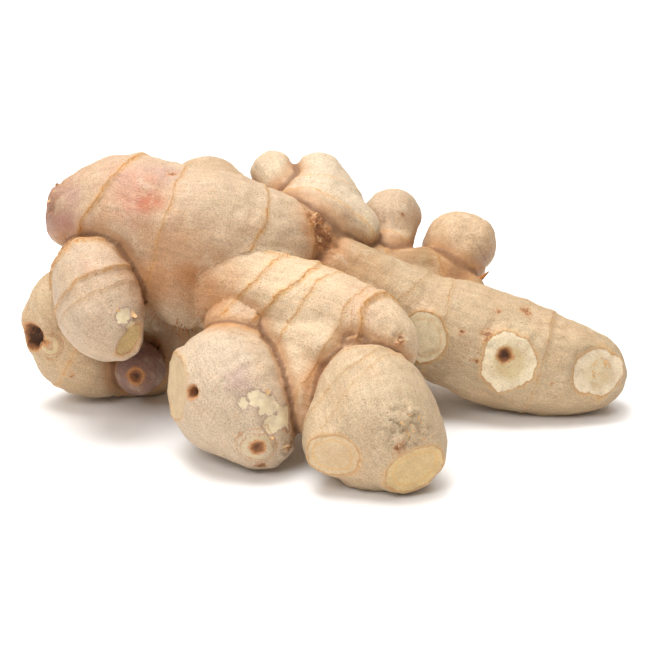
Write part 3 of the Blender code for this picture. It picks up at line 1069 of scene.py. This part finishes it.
def finish_piece(shape, name, material):
    """Makes the shape a piece of the root, with its faces outward."""
    bmesh.ops.recalc_face_normals(shape, faces=shape.faces)
    piece = object_from(shape, name)
    piece.data.materials.append(material)
    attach(piece, "root")


def plain_paint(name, dark, light):
    """Dry fibre that runs from one colour to another."""
    paint = Paint(name)
    paint.set(paint.shader.inputs["Base Color"], paint.mix(paint.grain(0.8), dark, light))
    paint.shader.inputs["Roughness"].default_value = 0.75
    paint.shader.inputs["Specular IOR Level"].default_value = 0.25
    return paint.material


class GINGER_OT_hairs(Operator):
    """Grow the root hairs in the folds and the thorn on the back branch"""

    bl_idname = "ginger.hairs"
    bl_label = "Root hairs and thorn"

    def execute(self, context):
        settings = context.scene.ginger_root
        mesh = bpy.data.objects["ginger_skin"].data
        corners = [tuple(vertex.co) for vertex in mesh.vertices]
        tree = BVHTree.FromPolygons(corners, [face.vertices[:] for face in mesh.polygons])
        chance = random.Random(HAIR_SEED)
        shape = bmesh.new()
        for limb, share, heading, climb, spread, count, length in rows(HAIRS):
            for _ in range(count):
                bead = bead_at(GROWN[limb], min(max(share + chance.gauss(0, 0.04), 0), 1))
                out = way(heading + chance.gauss(0, spread), climb + chance.gauss(0, spread))
                hit, normal, _, _ = tree.ray_cast(bead.xyz * MM, out, 2 * bead.w * MM)
                if hit is None:
                    continue
                droop = Vector((chance.gauss(0, 0.7), chance.gauss(0, 0.7), chance.gauss(-0.6, 0.5)))
                reach = length * chance.uniform(0.5, 1) * MM
                foot = hit - normal * HAIR_ROOT
                points = [foot + reach * (at * normal + at * at * droop) for at in HAIR_POINTS]
                add_tube(shape, points, HAIR_RADIUS)
        bead = bead_at(GROWN["back_branch"], 1)
        out = bead.w * MM * way(THORN_HEADING, THORN_CLIMB)
        add_tube(shape, [bead.xyz * MM + out * at for at in THORN_POINTS], THORN_RADIUS, sides=8)
        fibre = plain_paint("root_hair", settings.brown_mark_and_shade, settings.orange_mark)
        finish_piece(shape, "root_hairs", fibre)
        return {"FINISHED"}


class GINGER_OT_flakes(Operator):
    """Raise dry papery flakes where the skin is torn or rubbed"""

    bl_idname = "ginger.flakes"
    bl_label = "Dry flakes"

    def execute(self, context):
        settings = context.scene.ginger_root
        mesh = bpy.data.objects["ginger_skin"].data
        rough = mesh.attributes["rough"].data
        peeled = mesh.attributes["peeled"].data
        torn = [
            vertex for vertex in mesh.vertices
            if rough[vertex.index].value > 0.8 or -0.5 < peeled[vertex.index].value < 0
        ]
        chance = random.Random(FLAKE_SEED)
        shape = bmesh.new()
        for vertex in chance.sample(torn, min(FLAKES, len(torn))):
            out = vertex.normal.copy()
            across = out.cross(Vector([chance.gauss(0, 1) for _ in range(3)])).normalized()
            length, width = chance.uniform(0.6, 2) * MM, chance.uniform(0.8, 2.2) * MM
            foot = vertex.co - out * FLAKE_ROOT
            add_flake(shape, foot, out, across, length, width, chance.uniform(0.05, 0.5))
        bmesh.ops.solidify(shape, geom=shape.faces[:], thickness=FLAKE_THICKNESS)
        finish_piece(shape, "dry_flakes", plain_paint("dry_flake", settings.golden_edge, BEIGE))
        return {"FINISHED"}


def aim(thing, target):
    """Turns a camera or a light to face a point."""
    thing.rotation_mode = "QUATERNION"
    thing.rotation_quaternion = (thing.location - target).to_track_quat("Z", "Y")


def soft_light(name, place, target, size, power):
    lamp = bpy.data.lights.new(name, "AREA")
    lamp.shape = "DISK"
    lamp.size = size
    lamp.energy = power
    light = bpy.data.objects.new(name, lamp)
    light.location = place
    aim(light, target)
    bpy.context.scene.collection.objects.link(light)


class GINGER_OT_stage(Operator):
    """Set the white floor, the soft studio light and the camera"""

    bl_idname = "ginger.stage"
    bl_label = "Studio"

    def execute(self, context):
        settings = context.scene.ginger_root
        scene = context.scene
        middle = Vector((0, 0, settings.camera_aim))
        sheet = bmesh.new()
        bmesh.ops.create_grid(sheet, x_segments=8, y_segments=8, size=FLOOR_REACH)
        floor = object_from(sheet, "studio_floor")
        white = Paint("studio_white")
        white.set(white.shader.inputs["Base Color"], white.mix(white.grain(FLOOR_CLOUD), *FLOOR_WHITES))
        white.shader.inputs["Roughness"].default_value = 0.9
        white.shader.inputs["Specular IOR Level"].default_value = 0.1
        floor.data.materials.append(white.material)

        world = bpy.data.worlds.new("studio")
        world.use_nodes = True
        scene.world = world
        backdrop = world.node_tree.nodes["Background"]
        backdrop.inputs["Color"].default_value = WARM_WHITE
        backdrop.inputs["Strength"].default_value = settings.surround
        soft_light("overhead_softbox", OVERHEAD, middle, SOFTBOX_WIDTH, settings.light_power)
        below = Vector((*CEILING.xy, 0))
        soft_light("ceiling_softbox", CEILING, below, CEILING_WIDTH, settings.ceiling_power)
        soft_light("front_fill", FRONT_FILL, middle, SOFTBOX_WIDTH, settings.light_power)

        rise = settings.camera_rise
        view = bpy.data.objects.new("camera", bpy.data.cameras.new("camera"))
        view.location = middle + settings.camera_distance * Vector((0, -math.cos(rise), math.sin(rise)))
        aim(view, middle)
        view.data.lens = settings.camera_lens
        view.data.sensor_width = SENSOR_WIDTH
        view.data.clip_start = 0.01
        scene.collection.objects.link(view)
        scene.camera = view
        scene.view_settings.view_transform = "Standard"
        return {"FINISHED"}


class GINGER_PT_panel(Panel):
    """The steps that make the root, in order"""

    bl_label = "Ginger root"
    bl_idname = "GINGER_PT_panel"
    bl_space_type = "VIEW_3D"
    bl_region_type = "UI"
    bl_category = "Ginger"

    def draw(self, context):
        for step in STEPS:
            self.layout.operator(step.bl_idname)
        for name in GingerRootSettings.__annotations__:
            self.layout.prop(context.scene.ginger_root, name)


STEPS = [GINGER_OT_skin, GINGER_OT_hairs, GINGER_OT_flakes, GINGER_OT_stage]
CLASSES = [GingerRootSettings, *STEPS, GINGER_PT_panel]


def register():
    for kind in CLASSES:
        bpy.utils.register_class(kind)
    bpy.types.Scene.ginger_root = PointerProperty(type=GingerRootSettings)


def unregister():
    del bpy.types.Scene.ginger_root
    for kind in reversed(CLASSES):
        bpy.utils.unregister_class(kind)


def main():
    register()
    bpy.ops.ginger.skin()
    bpy.ops.ginger.hairs()
    bpy.ops.ginger.flakes()
    bpy.ops.ginger.stage()


if __name__ == "__main__":
    main()
